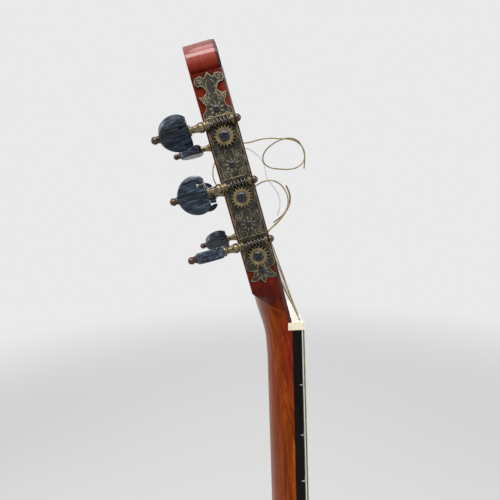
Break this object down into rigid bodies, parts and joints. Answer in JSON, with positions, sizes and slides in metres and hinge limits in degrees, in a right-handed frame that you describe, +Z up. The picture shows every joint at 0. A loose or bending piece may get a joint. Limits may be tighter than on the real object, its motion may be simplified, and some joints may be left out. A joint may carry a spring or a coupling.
{
  "type": "flamenco guitar",
  "caption": "Flamenco guitar with a slotted head, strings wound on rollers with long loose ends, and tuning machines whose buttons turn worms, gears and rollers.",
  "frame": {"origin": "on the centre line, in the plane of the soundboard's face, where the fingerboard meets the nut; a wall hanger holds the neck there", "axes": "+Z up the neck towards the head, +X out of the soundboard, +Y from the bass side to the treble side"},
  "size_m": [0.1089, 0.362, 0.9979],
  "materials": {
    "soundboard_spruce": "thin satin polish",
    "brace_spruce": "bare, planed",
    "lining_cedar": "bare, sawn",
    "body_cypress": "glossy polish",
    "rosewood": "glossy polish",
    "rosette_mosaic": "inlaid mosaic under a glossy polish",
    "clear_plate": "clear, glossy",
    "neck_cedar": "glossy polish over streaky grain",
    "head_cedar": "high gloss, dark stain",
    "ebony": "polished",
    "fret_metal": "polished nickel silver",
    "clear_nylon": "clear, glossy",
    "wound_wire": "fine wire wound on a core",
    "bone": "polished bone",
    "aged_bronze": "engraved, dark in the hollows, bright on the edges",
    "dark_steel": "blackened, domed",
    "worm_brass": "turned, worn bright",
    "gear_brass": "turned, bright",
    "roller_ivory": "turned, satin"
  },
  "bodies": {
    "guitar": {"soundboard": "soundboard_spruce", "rosette": "rosette_mosaic", "tap_plate": "clear_plate", "side_bass": "body_cypress", "side_treble": "body_cypress", "back": "body_cypress", "bindings": "rosewood", "tail_block": "lining_cedar", "linings": "lining_cedar", "soundboard_braces": "brace_spruce", "back_braces": "brace_spruce", "neck": "neck_cedar", "head": "head_cedar", "heel_cap": "rosewood", "head_faceplate": "rosewood", "fingerboard": "ebony", "frets": "fret_metal", "treble_strings": "clear_nylon", "bass_strings": "wound_wire", "nut": "bone", "bridge": "rosewood", "saddle": "bone", "tuner_plate_bass": "aged_bronze", "tuner_plate_treble": "aged_bronze", "plate_screws": "dark_steel", "string_end_bass_upper": "wound_wire", "string_end_bass_middle": "wound_wire", "string_end_bass_lower": "wound_wire", "string_end_treble_upper": "clear_nylon", "string_end_rear": "wound_wire"},
    "worm_bass_upper": {"worm_shaft_bass_upper": "worm_brass", "button_bass_upper": "ebony"},
    "winder_bass_upper": {"gear_bass_upper": "gear_brass", "roller_bass_upper": "roller_ivory", "string_winding_bass_upper": "wound_wire"},
    "worm_bass_middle": {"worm_shaft_bass_middle": "worm_brass", "button_bass_middle": "ebony"},
    "winder_bass_middle": {"gear_bass_middle": "gear_brass", "roller_bass_middle": "roller_ivory", "string_winding_bass_middle": "wound_wire"},
    "worm_bass_lower": {"worm_shaft_bass_lower": "worm_brass", "button_bass_lower": "ebony"},
    "winder_bass_lower": {"gear_bass_lower": "gear_brass", "roller_bass_lower": "roller_ivory", "string_winding_bass_lower": "wound_wire"},
    "worm_treble_upper": {"worm_shaft_treble_upper": "worm_brass", "button_treble_upper": "ebony"},
    "winder_treble_upper": {"gear_treble_upper": "gear_brass", "roller_treble_upper": "roller_ivory", "string_winding_treble_upper": "clear_nylon"},
    "worm_treble_middle": {"worm_shaft_treble_middle": "worm_brass", "button_treble_middle": "ebony"},
    "winder_treble_middle": {"gear_treble_middle": "gear_brass", "roller_treble_middle": "roller_ivory", "string_winding_treble_middle": "clear_nylon"},
    "worm_treble_lower": {"worm_shaft_treble_lower": "worm_brass", "button_treble_lower": "ebony"},
    "winder_treble_lower": {"gear_treble_lower": "gear_brass", "roller_treble_lower": "roller_ivory", "string_winding_treble_lower": "clear_nylon"}
  },
  "joints": [
    {"name": "button_bass_upper_turn", "type": "hinge", "parent": "guitar", "child": "worm_bass_upper", "pos_m": [-0.03886, -0.0374, 0.1257], "axis": [0.972, 0, 0.2351], "continuous": true},
    {"name": "roller_bass_upper_turn", "type": "hinge", "parent": "guitar", "child": "winder_bass_upper", "pos_m": [-0.03701, -0.0374, 0.11806], "axis": [0, 1, 0], "continuous": true},
    {"name": "button_bass_middle_turn", "type": "hinge", "parent": "guitar", "child": "worm_bass_middle", "pos_m": [-0.03063, -0.0374, 0.09168], "axis": [0.972, 0, 0.2351], "continuous": true},
    {"name": "roller_bass_middle_turn", "type": "hinge", "parent": "guitar", "child": "winder_bass_middle", "pos_m": [-0.02878, -0.0374, 0.08404], "axis": [0, 1, 0], "continuous": true},
    {"name": "button_bass_lower_turn", "type": "hinge", "parent": "guitar", "child": "worm_bass_lower", "pos_m": [-0.0224, -0.0374, 0.05766], "axis": [0.972, 0, 0.2351], "continuous": true},
    {"name": "roller_bass_lower_turn", "type": "hinge", "parent": "guitar", "child": "winder_bass_lower", "pos_m": [-0.02055, -0.0374, 0.05002], "axis": [0, 1, 0], "continuous": true},
    {"name": "button_treble_upper_turn", "type": "hinge", "parent": "guitar", "child": "worm_treble_upper", "pos_m": [-0.03886, 0.0374, 0.1257], "axis": [0.972, 0, 0.2351], "continuous": true},
    {"name": "roller_treble_upper_turn", "type": "hinge", "parent": "guitar", "child": "winder_treble_upper", "pos_m": [-0.03701, 0.0374, 0.11806], "axis": [0, 1, 0], "continuous": true},
    {"name": "button_treble_middle_turn", "type": "hinge", "parent": "guitar", "child": "worm_treble_middle", "pos_m": [-0.03063, 0.0374, 0.09168], "axis": [0.972, 0, 0.2351], "continuous": true},
    {"name": "roller_treble_middle_turn", "type": "hinge", "parent": "guitar", "child": "winder_treble_middle", "pos_m": [-0.02878, 0.0374, 0.08404], "axis": [0, 1, 0], "continuous": true},
    {"name": "button_treble_lower_turn", "type": "hinge", "parent": "guitar", "child": "worm_treble_lower", "pos_m": [-0.0224, 0.0374, 0.05766], "axis": [0.972, 0, 0.2351], "continuous": true},
    {"name": "roller_treble_lower_turn", "type": "hinge", "parent": "guitar", "child": "winder_treble_lower", "pos_m": [-0.02055, 0.0374, 0.05002], "axis": [0, 1, 0], "continuous": true}
  ],
  "couplings": [
    {"joint": "roller_bass_upper_turn", "follows": "button_bass_upper_turn", "ratio": -0.055556},
    {"joint": "roller_bass_middle_turn", "follows": "button_bass_middle_turn", "ratio": -0.055556},
    {"joint": "roller_bass_lower_turn", "follows": "button_bass_lower_turn", "ratio": -0.055556},
    {"joint": "roller_treble_upper_turn", "follows": "button_treble_upper_turn", "ratio": -0.055556},
    {"joint": "roller_treble_middle_turn", "follows": "button_treble_middle_turn", "ratio": -0.055556},
    {"joint": "roller_treble_lower_turn", "follows": "button_treble_lower_turn", "ratio": -0.055556}
  ]
}
